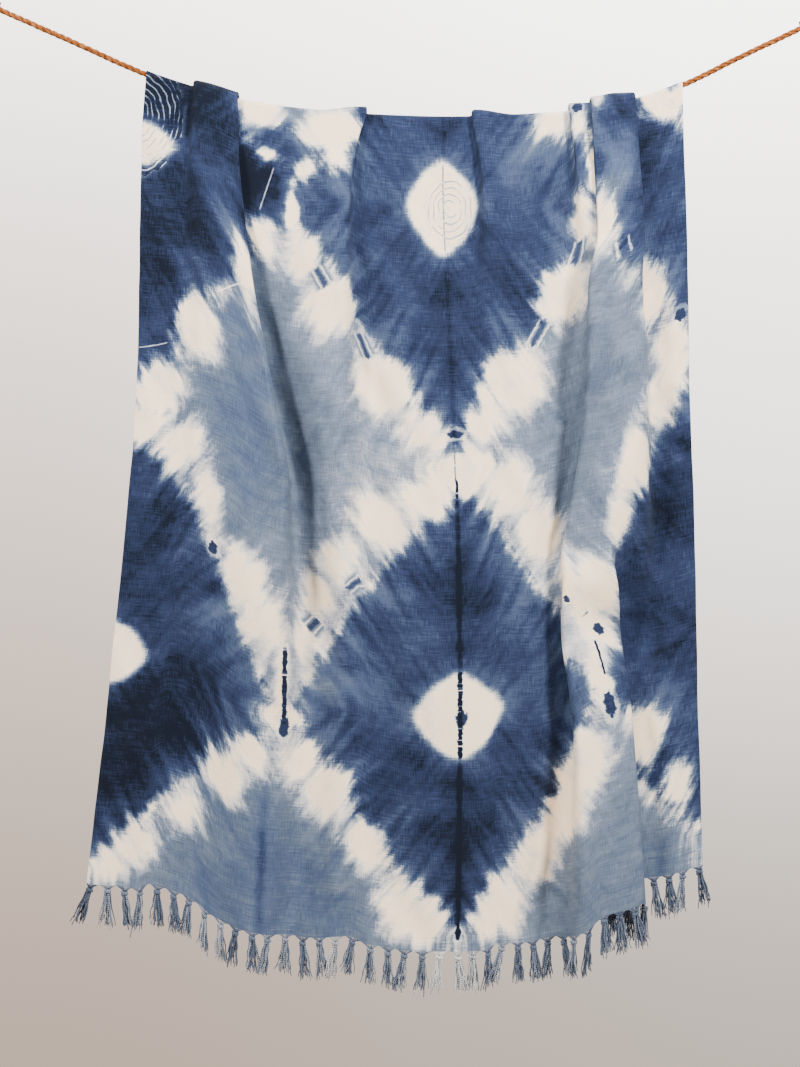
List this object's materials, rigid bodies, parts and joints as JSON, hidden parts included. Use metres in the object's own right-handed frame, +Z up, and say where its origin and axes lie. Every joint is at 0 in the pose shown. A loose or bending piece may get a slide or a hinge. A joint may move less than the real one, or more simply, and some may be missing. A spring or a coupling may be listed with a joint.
{
  "type": "shibori dyed throw hung over a rope",
  "caption": "Fringed cotton throw, resist dyed in a diamond lattice of indigo and cream, draped in soft pleats over a taut coir rope with seized eyes.",
  "frame": {"origin": "middle of the hole of the rope's left eye", "axes": "+Z up, +X along the rope from its left eye to its right, -Y out of the front of the throw"},
  "size_m": [1.6202, 0.1327, 1.8843],
  "materials": {
    "indigo_cotton": "handwoven cotton, resist dyed with indigo in two depths over undyed cream",
    "fringe_cotton": "twisted warp ends, dyed slate blue, knotted into tassels",
    "coir": "three-strand coir rope, dry and hairy"
  },
  "bodies": {
    "root": {"cloth": "indigo_cotton", "fringe": "fringe_cotton", "rope": "coir", "rope_eye_left": "coir", "rope_eye_right": "coir"}
  },
  "joints": []
}
